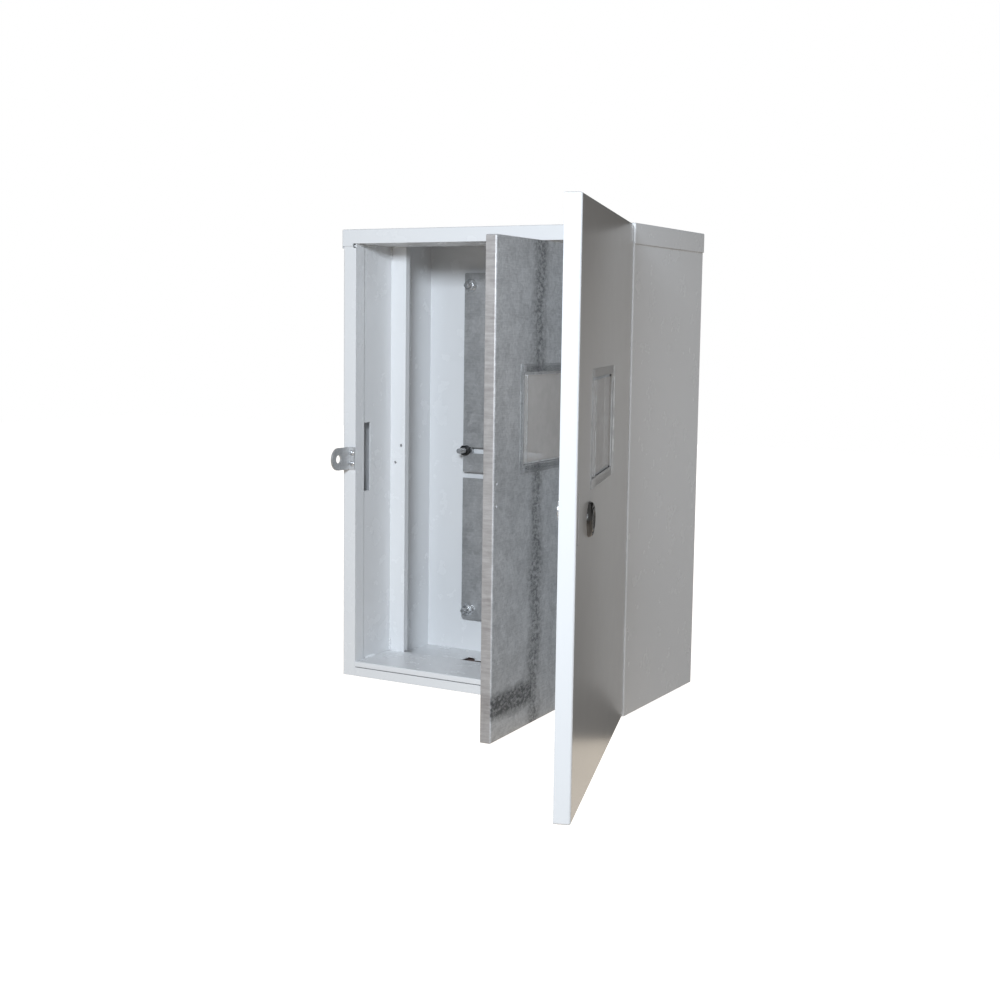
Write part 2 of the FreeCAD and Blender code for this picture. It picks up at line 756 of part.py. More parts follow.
def padlock_lug():
    low = "lug_height - lug_radius"
    high = "lug_height + lug_radius"
    eye_y = "lug_radius - lug_reach"
    leg = box(CABINET, ("lug_inset", "lug_inset + lug_sheet"), (eye_y, "0"), (low, high))
    eye = cylinder(CABINET, "x", ("lug_inset", eye_y, "lug_height"), "lug_sheet", "lug_radius")
    base = box(CABINET, ("lug_inset", "lug_inset + lug_base_width"), ("-lug_sheet", "0"), (low, high))
    hole = cylinder(
        CABINET, "x", ("lug_inset - 1", eye_y, "lug_height"), "lug_sheet + 2", "lug_hole_radius"
    )
    rivet_holes = [
        cylinder(CABINET, "y", (x, "-lug_sheet - 1", z), "lug_sheet + 2", "rivet_radius")
        for x, z in lug_rivet_places()
    ]
    node("padlock_lug", cut(fuse(leg, eye, base), hole, *rivet_holes))


def lug_rivets():
    rivets = []
    for x, z in lug_rivet_places():
        head_start = "-lug_sheet - rivet_head_height"
        head = cylinder(CABINET, "y", (x, head_start, z), "rivet_head_height", "rivet_head_radius")
        shank = cylinder(CABINET, "y", (x, "-lug_sheet", z), "lug_sheet + sheet", "rivet_radius")
        clinch = cylinder(
            CABINET, "y", (x, "sheet", z), "rivet_clinch_height", "rivet_radius + rivet_clinch_rim"
        )
        rivets.append(fuse(rounded(head, "sheet", front_circle), shank, clinch))
    group("lug_rivets", rivets)


# ---------------------------------------------------------------- inner door and its hinges

INNER_SKIN_BACK = "inner_door_face + sheet"
INNER_AXIS = (INNER_DOOR[0], INNER_DOOR[1])


def inner_door():
    back = "inner_door_face + inner_door_depth"
    outside = box(
        INNER_DOOR,
        ("inner_door_left", "inner_door_right"),
        ("inner_door_face", back),
        ("inner_door_bottom", "inner_door_top"),
    )
    inside = box(
        INNER_DOOR,
        ("inner_door_left + sheet", "inner_door_right - sheet"),
        (INNER_SKIN_BACK, f"{back} + 1"),
        ("inner_door_bottom + sheet", "inner_door_top - sheet"),
    )
    seal_holes = [
        cylinder(INNER_DOOR, "y", (x, "inner_door_face - 1", z), "sheet + 2", "seal_hole_radius")
        for x, z in (("upper_seal_inset", "upper_seal_height"), ("upper_seal_inset", "lower_seal_height"))
    ]
    hollow = rounded(inside, "bend_radius", front_or_corner, less="sheet")
    pan = cut(rounded(outside, "bend_radius", front_or_corner), hollow)
    node("inner_door", cut(pan, window_cutout(INNER_DOOR, "inner_door_face"), *seal_holes), INNER_DOOR)


def knuckle(carrier, low, pin_hole_radius, leaf):
    """A hinge leaf with its rolled knuckle, bored for the pin."""
    axis_x, axis_y = INNER_AXIS
    roll = cylinder(carrier, "z", (axis_x, axis_y, low), "knuckle_height", "knuckle_radius")
    bore = cylinder(carrier, "z", (axis_x, axis_y, f"{low} - 1"), "knuckle_height + 2", pin_hole_radius)
    return cut(fuse(roll, *leaf), bore)


def inner_hinge(end, height):
    """A bracket on the right post, a leaf on the inner door, and the pin through both knuckles."""
    axis_x, axis_y = INNER_AXIS
    low = f"{height} - knuckle_height - knuckle_gap / 2"
    high = f"{height} + knuckle_gap / 2"
    fixed_z = (low, f"{low} + knuckle_height")
    moving_z = (high, f"{high} + knuckle_height")
    web_left = f"{axis_x} + leaf_sheet"
    web = box(CABINET, (web_left, f"{web_left} + leaf_sheet"), (axis_y, "recess_depth"), fixed_z)
    foot = box(
        CABINET,
        (web_left, f"{axis_x} + foot_reach"),
        ("recess_depth - leaf_sheet", "recess_depth"),
        fixed_z,
    )
    node(f"{end}_inner_hinge_bracket", knuckle(CABINET, low, "inner_pin_radius", [web, foot]))

    strap = box(
        INNER_DOOR,
        (f"{axis_x} - leaf_reach", axis_x),
        ("inner_door_face - leaf_sheet", "inner_door_face"),
        moving_z,
    )
    leaf = knuckle(INNER_DOOR, high, "inner_pin_radius + hinge_clearance", [strap])
    node(f"{end}_inner_hinge_leaf", leaf, INNER_DOOR)

    tail = f"{low} - inner_pin_tail"
    head_low = f"{moving_z[1]} + inner_pin_head_lift"
    shank = cylinder(CABINET, "z", (axis_x, axis_y, tail), f"({head_low}) - ({tail})", "inner_pin_radius")
    head = cylinder(
        CABINET, "z", (axis_x, axis_y, head_low),
        "inner_pin_head_height", "inner_pin_radius + inner_pin_head_rim"
    )
    node(f"{end}_inner_hinge_pin", fuse(shank, head))


# ---------------------------------------------------------------- mounting plate and its fixings

PLATE_BACK = "plate_front + plate_sheet"
PLATE_X = ("plate_inset", "cabinet_width - plate_inset")


def stud_places():
    places = []
    for x in (f"{PLATE_X[0]} + stud_inset", f"{PLATE_X[1]} - stud_inset"):
        for z in ("lower_stud_height", "upper_stud_height"):
            places.append((x, z))
    return places


def meter_slot(z):
    """A slot through the plate, open at the plate's left edge and round at its right end."""
    radius = "meter_slot_height / 2"
    end = f"meter_slot_right - {radius}"
    through = ("plate_front - 1", f"{PLATE_BACK} + 1")
    straight = box(CABINET, (f"{PLATE_X[0]} - 1", end), through, (f"{z} - {radius}", f"{z} + {radius}"))
    round_end = cylinder(CABINET, "y", (end, "plate_front - 1", z), "plate_sheet + 2", radius)
    return [straight, round_end]


def mounting_plate():
    blank = box(CABINET, PLATE_X, ("plate_front", PLATE_BACK), ("plate_bottom", "plate_top"))
    stud_holes = [
        cylinder(CABINET, "y", (x, "plate_front - 1", z), "plate_sheet + 2",
                 "stud_radius + stud_hole_clearance")
        for x, z in stud_places()
    ]
    slots = meter_slot("upper_meter_slot") + meter_slot("lower_meter_slot")

    def corners(edge, _bounds):
        return along(edge, FreeCAD.Vector(0, 1, 0))

    node("mounting_plate", cut(rounded(blank, "plate_corner_radius", corners), *stud_holes, *slots))


def plate_fixings():
    studs = []
    standoffs = []
    nuts = []
    for x, z in stud_places():
        length = f"{INNER_FACE_BACK} - stud_tip"
        studs.append(cylinder(CABINET, "y", (x, "stud_tip", z), length, "stud_radius"))
        gap = f"{INNER_FACE_BACK} - ({PLATE_BACK})"
        sleeve = cylinder(CABINET, "y", (x, PLATE_BACK, z), gap, "standoff_radius")
        sleeve_bore = cylinder(CABINET, "y", (x, f"{PLATE_BACK} - 1", z), f"{gap} + 2", "stud_radius")
        standoffs.append(cut(sleeve, sleeve_bore))
        nut_front = "plate_front - flange_nut_height"
        body = hexagon(CABINET, "y", (x, nut_front, z), "flange_nut_height", "flange_nut_flats")
        flange_start = (x, "plate_front - flange_nut_flange", z)
        flange = cylinder(CABINET, "y", flange_start, "flange_nut_flange", "flange_nut_radius")
        bore_start = (x, f"{nut_front} - 1", z)
        nut_bore = cylinder(CABINET, "y", bore_start, "flange_nut_height + 2", "stud_radius")
        nuts.append(cut(fuse(body, flange), nut_bore))
    group("plate_studs", studs)
    group("plate_standoffs", standoffs)
    group("plate_nuts", nuts)


def meter_bolt():
    x, z = "meter_bolt_inset", "upper_meter_slot"
    length = f"{PLATE_BACK} - meter_bolt_tip"
    shank = cylinder(CABINET, "y", (x, "meter_bolt_tip", z), length, "stud_radius")
    head = cylinder(CABINET, "y", (x, PLATE_BACK, z), "meter_head_height", "meter_head_radius")
    node("meter_bolt", fuse(shank, head))
    washer_front = "plate_front - meter_washer_sheet"
    disc = cylinder(CABINET, "y", (x, washer_front, z), "meter_washer_sheet", "meter_washer_radius")
    bore_start = (x, f"{washer_front} - 1", z)
    disc_bore = cylinder(CABINET, "y", bore_start, "meter_washer_sheet + 2", "stud_radius")
    node("meter_bolt_washer", cut(disc, disc_bore))
    nut_front = f"{washer_front} - meter_nut_height"
    body = hexagon(CABINET, "y", (x, nut_front, z), "meter_nut_height", "meter_nut_flats")
    nut_bore = cylinder(CABINET, "y", (x, f"{nut_front} - 1", z), "meter_nut_height + 2", "stud_radius")
    node("meter_bolt_nut", cut(body, nut_bore))


def earth_stud():
    y, z = "earth_setback", "earth_height"
    tip = f"{INNER_FACE_RIGHT} - earth_length"
    node("earth_stud", cylinder(CABINET, "x", (tip, y, z), "earth_length", "earth_radius"))
    nuts = []
    washers = []
    wall_nut_start = f"{INNER_FACE_RIGHT} - earth_nut_height"
    first_washer = f"{wall_nut_start} - earth_washer_sheet"
    second_washer = f"{first_washer} - earth_washer_sheet"
    outer_nut_start = f"{second_washer} - earth_nut_height"
    for start in (wall_nut_start, outer_nut_start):
        body = hexagon(CABINET, "x", (start, y, z), "earth_nut_height", "earth_nut_flats")
        bore = cylinder(CABINET, "x", (f"{start} - 1", y, z), "earth_nut_height + 2", "earth_radius")
        nuts.append(cut(body, bore))
    for start in (first_washer, second_washer):
        disc = cylinder(CABINET, "x", (start, y, z), "earth_washer_sheet", "earth_washer_radius")
        bore = cylinder(CABINET, "x", (f"{start} - 1", y, z), "earth_washer_sheet + 2", "earth_radius")
        washers.append(cut(disc, bore))
    group("earth_nuts", nuts)
    group("earth_washers", washers)


# ---------------------------------------------------------------- build, check and export

cabinet_shell()
roof_cap()
floor_pan()
sill()
header()
for side in ("left", "right"):
    jamb(side)
outer_door()
window("outer", OUTER_DOOR, "outer_door_face")
for end, height in OUTER_HINGE_HEIGHTS:
    outer_hinge(end, height)
lock_body()
lock_plug()
lock_cam()
padlock_lug()
lug_rivets()
inner_door()
window("inner", INNER_DOOR, "inner_door_face")
inner_hinge("lower", "inner_hinge_low")
inner_hinge("upper", "inner_hinge_high")
mounting_plate()
plate_fixings()
meter_bolt()
earth_stud()

doc.recompute()

for thing in doc.Objects:
    if {"Invalid", "Error"} & set(thing.State):
        raise RuntimeError(f"{thing.Label} ({thing.Name}) failed: {thing.State}")

os.makedirs("parts", exist_ok=True)
for piece in nodes:
    if piece.Shape.isNull() or not piece.Shape.isValid() or not piece.Shape.Solids:
        raise RuntimeError(f"{piece.Label} has no valid solid")
    if not math.isfinite(piece.Shape.Volume) or piece.Shape.Volume <= 0:
        raise RuntimeError(f"{piece.Label} has no volume")
for piece in nodes:
    piece.Shape.exportStep(os.path.join("parts", f"{piece.Label}.step"))
print(f"{len(nodes)} parts written")
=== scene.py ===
import json
import math

import bmesh
import bpy
from mathutils import Matrix, Vector

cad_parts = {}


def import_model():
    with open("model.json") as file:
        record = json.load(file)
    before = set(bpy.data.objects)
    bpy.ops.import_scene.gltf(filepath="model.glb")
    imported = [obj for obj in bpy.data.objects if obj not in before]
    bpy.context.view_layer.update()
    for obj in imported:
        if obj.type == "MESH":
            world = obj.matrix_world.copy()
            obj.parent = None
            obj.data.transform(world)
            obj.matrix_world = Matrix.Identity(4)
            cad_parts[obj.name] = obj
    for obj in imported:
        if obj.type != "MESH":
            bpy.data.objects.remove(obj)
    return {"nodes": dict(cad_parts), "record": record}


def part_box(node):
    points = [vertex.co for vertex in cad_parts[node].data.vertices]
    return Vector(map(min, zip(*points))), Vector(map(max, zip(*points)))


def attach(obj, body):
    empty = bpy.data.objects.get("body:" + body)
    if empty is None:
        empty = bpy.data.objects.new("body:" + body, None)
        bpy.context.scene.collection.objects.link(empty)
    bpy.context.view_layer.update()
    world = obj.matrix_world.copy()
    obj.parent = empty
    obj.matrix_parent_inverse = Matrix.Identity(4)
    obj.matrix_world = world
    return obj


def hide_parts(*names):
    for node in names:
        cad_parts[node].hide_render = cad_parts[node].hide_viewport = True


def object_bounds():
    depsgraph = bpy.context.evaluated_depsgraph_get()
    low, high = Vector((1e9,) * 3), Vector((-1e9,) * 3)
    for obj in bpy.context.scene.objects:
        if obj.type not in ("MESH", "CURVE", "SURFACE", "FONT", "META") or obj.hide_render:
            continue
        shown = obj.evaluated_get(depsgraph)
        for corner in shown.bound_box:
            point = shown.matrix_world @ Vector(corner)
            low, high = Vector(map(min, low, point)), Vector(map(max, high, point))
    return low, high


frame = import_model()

# A wall-hung meter cabinet with both doors open. Lengths are metres in the frame of the CAD model:
# X to the right, Y back to the wall, Z up, origin on the wall plane at the centre of the back.

MM = 0.001
CAD_BOX = [list(corner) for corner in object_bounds()]
NODES = frame["nodes"]


# ---------------------------------------------------------------- node trees for the materials

class Shader:
    """One material's node tree, with short calls for the nodes that the materials share."""

    def __init__(self, name):
        self.material = bpy.data.materials.new(name)
        self.material.use_nodes = True
        self.tree = self.material.node_tree
        self.surface = self.tree.nodes["Principled BSDF"]
        self.place = self.tree.nodes.new("ShaderNodeTexCoord").outputs["Object"]

    def set(self, **values):
        for name, value in values.items():
            self.surface.inputs[name.replace("_", " ")].default_value = value

    def link(self, source, name):
        self.tree.links.new(source, self.surface.inputs[name])

    def node(self, kind, **properties):
        made = self.tree.nodes.new("ShaderNode" + kind)
        for name, value in properties.items():
            setattr(made, name, value)
        return made

    def feed(self, made, name, value):
        """Sets a socket or links to it."""
        socket = made.inputs[name]
        if isinstance(value, bpy.types.NodeSocket):
            self.tree.links.new(value, socket)
        else:
            socket.default_value = value

    def stretched(self, scale, turn=(0, 0, 0)):
        mapping = self.node("Mapping")
        self.feed(mapping, "Vector", self.place)
        self.feed(mapping, "Scale", scale)
        self.feed(mapping, "Rotation", turn)
        return mapping.outputs["Vector"]

    def noise(self, scale, detail=2.0, rough=0.5, where=None):
        made = self.node("TexNoise")
        self.feed(made, "Vector", where or self.place)
        self.feed(made, "Scale", scale)
        self.feed(made, "Detail", detail)
        self.feed(made, "Roughness", rough)
        return made.outputs["Fac"]

    def cells(self, scale, where=None, randomness=1.0):
        """A random value for each cell of a Voronoi pattern."""
        made = self.node("TexVoronoi")
        self.feed(made, "Vector", where or self.place)
        self.feed(made, "Scale", scale)
        self.feed(made, "Randomness", randomness)
        split = self.node("SeparateColor")
        self.feed(split, "Color", made.outputs["Color"])
        return split.outputs["Red"]

    def ramp(self, value, low, high, to_low=0.0, to_high=1.0):
        made = self.node("MapRange")
        self.feed(made, "Value", value)
        self.feed(made, "From Min", low)
        self.feed(made, "From Max", high)
        self.feed(made, "To Min", to_low)
        self.feed(made, "To Max", to_high)
        return made.outputs["Result"]

    def math(self, operation, first, second):
        made = self.node("Math", operation=operation)
        for number, value in enumerate((first, second)):
            if isinstance(value, bpy.types.NodeSocket):
                self.tree.links.new(value, made.inputs[number])
            else:
                made.inputs[number].default_value = value
        return made.outputs["Value"]

    def mix(self, factor, first, second):
        made = self.node("Mix", data_type="RGBA")
        colours = [socket for socket in made.inputs if socket.type == "RGBA"]
        result = [socket for socket in made.outputs if socket.type == "RGBA"][0]
        factor_in = [socket for socket in made.inputs if socket.type == "VALUE"][0]
        if isinstance(factor, bpy.types.NodeSocket):
            self.tree.links.new(factor, factor_in)
        else:
            factor_in.default_value = factor
        for socket, value in zip(colours, (first, second)):
            if isinstance(value, bpy.types.NodeSocket):
                self.tree.links.new(value, socket)
            else:
                socket.default_value = (*value, 1.0)
        return result

    def soft_edges(self, radius):
        """Normals that round every sharp edge, as folded and deburred sheet has."""
        made = self.node("Bevel", samples=4)
        self.feed(made, "Radius", radius)
        return made.outputs["Normal"]

    def bump(self, height, strength, distance, over=None):
        made = self.node("Bump")
        self.feed(made, "Height", height)
        self.feed(made, "Strength", strength)
        self.feed(made, "Distance", distance)
        if over is not None:
            self.feed(made, "Normal", over)
        return made.outputs["Normal"]


def grey(value, warmth=0.0):
    """A neutral colour, warmer above 0 and cooler below it."""
    return (value * (1 + warmth), value, value * (1 - warmth))


def powder_coat(name, tone, roughness):
    """Sprayed and baked polyester powder: pale and faintly cool, with orange peel and handling marks."""
    shader = Shader(name)
    drift = shader.noise(6.0, 2.0)
    base = shader.mix(shader.ramp(drift, 0.3, 0.7), grey(tone * 0.985, -0.016), grey(tone, -0.012))
    shader.link(base, "Base Color")
    handling = shader.noise(38.0, 4.0, 0.6)
    shader.link(shader.ramp(handling, 0.35, 0.7, roughness, roughness + 0.02), "Roughness")
    waves = shader.bump(shader.noise(140.0, 1.0), 0.06, 0.12 * MM, shader.soft_edges(0.6 * MM))
    shader.link(waves, "Normal")
    shader.set(Specular_IOR_Level=0.5)
    return shader.material


def galvanised(name, tone, contrast, metal):
    """Hot-dip zinc on rolled sheet: spangle, blotches and rolling streaks."""
    shader = Shader(name)
    spangle = shader.cells(150.0, shader.stretched((1.0, 1.0, 0.7)))
    fine_spangle = shader.cells(420.0)
    blotch = shader.noise(11.0, 4.0, 0.6)
    streak = shader.noise(60.0, 5.0, 0.7, shader.stretched((1.0, 1.0, 22.0)))
    shares = (
        (spangle, 0.0, 1.0, 0.06),
        (fine_spangle, 0.0, 1.0, 0.07),
        (blotch, 0.3, 0.7, 0.08),
        (streak, 0.35, 0.65, 0.07),
    )
    level = 0.5
    for value, low, high, share in shares:
        swing = shader.ramp(value, low, high, -share * contrast, share * contrast)
        level = shader.math("ADD", swing, level)
    shader.colour = shader.mix(level, grey(tone * 0.55, -0.016), grey(tone * 1.45, -0.008))
    shader.link(shader.colour, "Base Color")
    shader.link(shader.ramp(spangle, 0.0, 1.0, 0.36, 0.50), "Roughness")
    dents = shader.bump(shader.noise(24.0, 1.0), 0.10, 0.6 * MM, shader.soft_edges(0.35 * MM))
    grain = shader.bump(streak, 0.10, 0.06 * MM, dents)
    shader.link(shader.bump(fine_spangle, 0.05, 0.04 * MM, grain), "Normal")
    shader.set(Metallic=metal)
    return shader


def smeared_door(shader):
    """The inner door's dull places: a mottled band, a dark patch at the foot, a rubbed free edge."""
    split = shader.node("SeparateXYZ")
    shader.feed(split, "Vector", shader.place)
    across = split.outputs["Y"]
    height = split.outputs["Z"]
    speckle = shader.noise(300.0, 4.0, 0.75, shader.stretched((1.0, 0.7, 1.0)))
    wander = shader.ramp(shader.noise(30.0, 5.0, 0.7), 0.25, 0.75, -8 * MM, 8 * MM)

    from_band = shader.math("SUBTRACT", shader.math("ADD", across, wander), BAND_PLACE)
    near_band = shader.ramp(shader.math("ABSOLUTE", from_band, 0.0), 4 * MM, 16 * MM, 1.0, 0.0)
    band = shader.math("MULTIPLY", near_band, shader.ramp(speckle, 0.42, 0.58, 0.20, 0.80))

    near_edge = shader.ramp(across, PATCH_REACH, PATCH_REACH + 14 * MM, 1.0, 0.0)
    drooping = shader.math("ADD", height, shader.math("MULTIPLY", wander, 0.6))
    from_patch = shader.math("SUBTRACT", drooping, PATCH_HEIGHT)
    near_patch = shader.ramp(shader.math("ABSOLUTE", from_patch, 0.0), 7 * MM, 15 * MM, 1.0, 0.0)
    reach = shader.math("MULTIPLY", near_edge, near_patch)
    patch = shader.math("MULTIPLY", reach, shader.ramp(speckle, 0.36, 0.56, 0.35, 1.0))

    dull = shader.math("MULTIPLY", shader.math("MAXIMUM", band, patch), 0.88)
    smeared = shader.mix(dull, shader.colour, (0.05, 0.052, 0.055))
    rows = shader.noise(70.0, 5.0, 0.75, shader.stretched((0.7, 1.0, 6.0)))
    rubbed = shader.mix(shader.ramp(rows, 0.32, 0.68), (0.27, 0.245, 0.235), (0.45, 0.43, 0.415))
    on_edge = shader.ramp(across, FREE_EDGE + 0.4 * MM, FREE_EDGE + 0.8 * MM, 0.85, 0.0)
    shader.link(shader.mix(on_edge, smeared, rubbed), "Base Color")


def plated(name, tone, roughness, warmth=0.0, metal=1.0):
    """Bright zinc or nickel plating with faint clouding."""
    shader = Shader(name)
    cloud = shader.noise(220.0, 3.0)
    base = shader.mix(shader.ramp(cloud, 0.3, 0.7), grey(tone * 0.88, warmth), grey(tone, warmth))
    shader.link(base, "Base Color")
    shader.link(shader.ramp(cloud, 0.3, 0.7, roughness, roughness + 0.10), "Roughness")
    shader.link(shader.bump(cloud, 0.04, 0.03 * MM, shader.soft_edges(0.3 * MM)), "Normal")
    shader.set(Metallic=metal)
    return shader.material


def black_oxide(name):
    shader = Shader(name)
    wear = shader.noise(420.0, 3.0)
    base = shader.mix(shader.ramp(wear, 0.45, 0.75), (0.012, 0.012, 0.013), (0.04, 0.04, 0.042))
    shader.link(base, "Base Color")
    shader.link(shader.ramp(wear, 0.3, 0.7, 0.34, 0.50), "Roughness")
    shader.link(shader.soft_edges(0.3 * MM), "Normal")
    shader.set(Metallic=0.5)
    return shader.material


def clear_plastic(name, tint, roughness, body, edge_radius):
    """Clear moulding with a faint body: the sheet behind it shows, and along its rounded edges a painted
    highlight, near-white and more opaque, is broken up by noise.
    """
    shader = Shader(name)
    scuff = shader.noise(90.0, 5.0, 0.65)
    shader.link(shader.ramp(scuff, 0.45, 0.75, roughness, roughness + 0.10), "Roughness")
    rounded = shader.soft_edges(edge_radius)
    facing = shader.node("VectorMath", operation="DOT_PRODUCT")
    for socket, source in zip(facing.inputs, (rounded, shader.node("NewGeometry").outputs["True Normal"])):
        shader.tree.links.new(source, socket)
    on_edge = shader.ramp(facing.outputs["Value"], 0.99, 0.90)
    highlight_breaks = shader.ramp(shader.noise(70.0, 2.0), 0.42, 0.52, 0.25, 1.0)
    # Painted highlight: where the rounded-edge normals turn away from the face, the colour goes near-white
    # and the body more opaque, in broken glints.
    painted_edge_highlight = shader.math("MULTIPLY", on_edge, highlight_breaks)
    tinted = shader.mix(shader.ramp(scuff, 0.3, 0.7), tint, tuple(0.94 * part for part in tint))
    shader.link(shader.mix(painted_edge_highlight, tinted, (0.95, 0.96, 0.97)), "Base Color")
    clear = shader.ramp(scuff, 0.2, 0.8, body - 0.05, body + 0.08)
    shader.link(shader.math("ADD", clear, shader.math("MULTIPLY", painted_edge_highlight, PAINTED_HIGHLIGHT_BODY)), "Alpha")
    waves = shader.bump(shader.noise(45.0, 1.0), 0.10, 0.4 * MM, rounded)
    shader.link(waves, "Normal")
    shader.set(IOR=1.49, Specular_IOR_Level=0.9)
    return shader.material


def weld_metal(name):
    """A small bead of weld under glossy paint."""
    shader = Shader(name)
    ripple = shader.noise(600.0, 3.0)
    crest = shader.ramp(ripple, 0.3, 0.7)
    shader.link(shader.mix(crest, grey(0.74, -0.01), grey(0.84, -0.02)), "Base Color")
    shader.link(shader.ramp(ripple, 0.3, 0.7, 0.12, 0.30), "Roughness")
    shader.link(shader.bump(ripple, 0.35, 0.15 * MM), "Normal")
    return shader.material


# Extra opacity of the painted edge highlight on the clear plastics.
PAINTED_HIGHLIGHT_BODY = 0.80
FREE_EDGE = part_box("inner_door")[0].y
BAND_PLACE = FREE_EDGE + 80 * MM
PATCH_REACH = FREE_EDGE + 74 * MM
PATCH_HEIGHT = -0.176

PAINT = powder_coat("powder_coat", 0.80, 0.26)
# The outer door has the cabinet's own powder coat. Its lower tone, 0.66 against 0.80, is painted shade that
# darkens the whole door, most visibly on its brightly lit return.
SHADED_DOOR_PAINT = powder_coat("door_powder_coat_painted_shade", 0.66, 0.15)
DOOR_ZINC = galvanised("galvanised_door", 0.60, 1.5, 0.35)
smeared_door(DOOR_ZINC)
PLATE_ZINC = galvanised("galvanised_plate", 0.43, 1.2, 0.50)
LUG_ZINC = galvanised("galvanised_lug", 0.60, 1.2, 0.60)
ZINC = plated("zinc_plating", 0.70, 0.20, -0.02, 0.85)
LOCK_METAL = plated("lock_nickel", 0.13, 0.18, 0.02)
BLACK = black_oxide("black_oxide")
FRAME_PLASTIC = clear_plastic("window_frame_plastic", (0.66, 0.67, 0.68), 0.06, 0.10, 1.2 * MM)
PANE_PLASTIC = clear_plastic("window_pane_plastic", (0.76, 0.72, 0.68), 0.05, 0.40, 0.2 * MM)
WELD = weld_metal("weld_bead")

FINISHES = {
    "powder_coat": PAINT,
    "galvanised_steel": DOOR_ZINC.material,
    "zinc_plated_steel": ZINC,
    "black_steel": BLACK,
    "lock_metal": LOCK_METAL,
    "clear_plastic": FRAME_PLASTIC,
    "window_pane": PANE_PLASTIC,
}
OWN_FINISH = {
    "outer_door": SHADED_DOOR_PAINT,
    "mounting_plate": PLATE_ZINC.material,
    "padlock_lug": LUG_ZINC.material,
}


def give(piece, material):
    piece.data.materials.clear()
    piece.data.materials.append(material)


def finish_frame_nodes():
    for part in frame["record"]["subparts"]:
        name = part["node"]
        give(NODES[name], OWN_FINISH.get(name, FINISHES[part["material_slot"]]))


# ---------------------------------------------------------------- turned, threaded and hexagonal pieces

# Places are millimetres from the bottom left front corner of the shell with both doors closed.
ORIGIN = Vector((158.0, 164.0, 225.0))
OUTER_PIVOT = Vector((311.0, -8.5, 0.0))
OUTER_OPEN_DEG = 108.0
ALONG = {
    "y": Matrix.Rotation(math.radians(-90), 4, "X"),
    "x": Matrix.Rotation(math.radians(90), 4, "Y"),
}
ROUND_STEPS = 72


def ring(mesh, radius_at, height):
    """A loop of points round the local Z axis; the radius may change with the angle."""
    points = []
    for step in range(ROUND_STEPS):
        angle = 2 * math.pi * step / ROUND_STEPS
        radius = radius_at(angle) if callable(radius_at) else radius_at
        level = height(angle) if callable(height) else height
        points.append(mesh.verts.new((radius * math.cos(angle), radius * math.sin(angle), level)))
    return points


def skin(mesh, rings):
    for first, second in zip(rings, rings[1:]):
        for step in range(ROUND_STEPS):
            after = (step + 1) % ROUND_STEPS
            mesh.faces.new((first[step], first[after], second[after], second[step]))


def turned(profile, closed=False):
    """A turned piece from (radius, height) points; a closed profile is a ring with a bore."""
    mesh = bmesh.new()
    rings = [ring(mesh, radius, height) for radius, height in profile]
    if closed:
        skin(mesh, rings + [rings[0]])
    else:
        skin(mesh, rings)
        mesh.faces.new(rings[0])
        mesh.faces.new(rings[-1])
    return mesh


def threaded(radius, length, pitch, tip):
    """A threaded rod with a rolled V thread and a chamfer at the end away from its start."""
    mesh = bmesh.new()
    depth = 0.54 * pitch
    levels = max(2, round(length / pitch * 5))
    rings = []
    for level in range(levels + 1):
        height = length * level / levels
        ends = min(height, length - height) / tip
        full = radius - depth * max(0.0, 1.0 - ends)

        def radius_at(angle, height=height, full=full):
            turn = (height / pitch - angle / (2 * math.pi)) % 1.0
            groove = depth * (1.0 - abs(2.0 * turn - 1.0))
            return min(full, radius - groove)

        rings.append(ring(mesh, radius_at, height))
    skin(mesh, rings)
    mesh.faces.new(rings[0])
    mesh.faces.new(rings[-1])
    return mesh


def hexagonal(flats, height, bore, flange=None):
    """A nut with its corners chamfered at both ends, and at its far end a coned flange if it has one."""
    def across(angle):
        return flats / 2 / math.cos((angle % math.radians(60)) - math.radians(30))

    def chamfer(angle):
        return (across(angle) - 0.97 * flats / 2) * math.tan(math.radians(30))

    mesh = bmesh.new()
    rings = [
        ring(mesh, bore, 0.5),
        ring(mesh, bore + 0.5, 0.0),
        ring(mesh, 0.97 * flats / 2, 0.0),
        ring(mesh, across, chamfer),
    ]
    if flange is None:
        rings.append(ring(mesh, across, lambda angle: height - chamfer(angle)))
        rings.append(ring(mesh, 0.97 * flats / 2, height))
    else:
        rings.append(ring(mesh, across, height - 2.2))
        rings.append(ring(mesh, flange - 0.2, height - 0.9))
        rings.append(ring(mesh, flange, height - 0.6))
        rings.append(ring(mesh, flange, height - 0.1))
        rings.append(ring(mesh, flange - 0.1, height))
    rings.append(ring(mesh, bore, height))
    skin(mesh, rings + [rings[0]])
    return mesh


def washer(radius, sheet, bore):
    edge = 0.2
    return turned(
        [
            (bore, 0), (radius - edge, 0), (radius, edge),
            (radius, sheet - edge), (radius - edge, sheet), (bore, sheet),
        ],
        closed=True,
    )


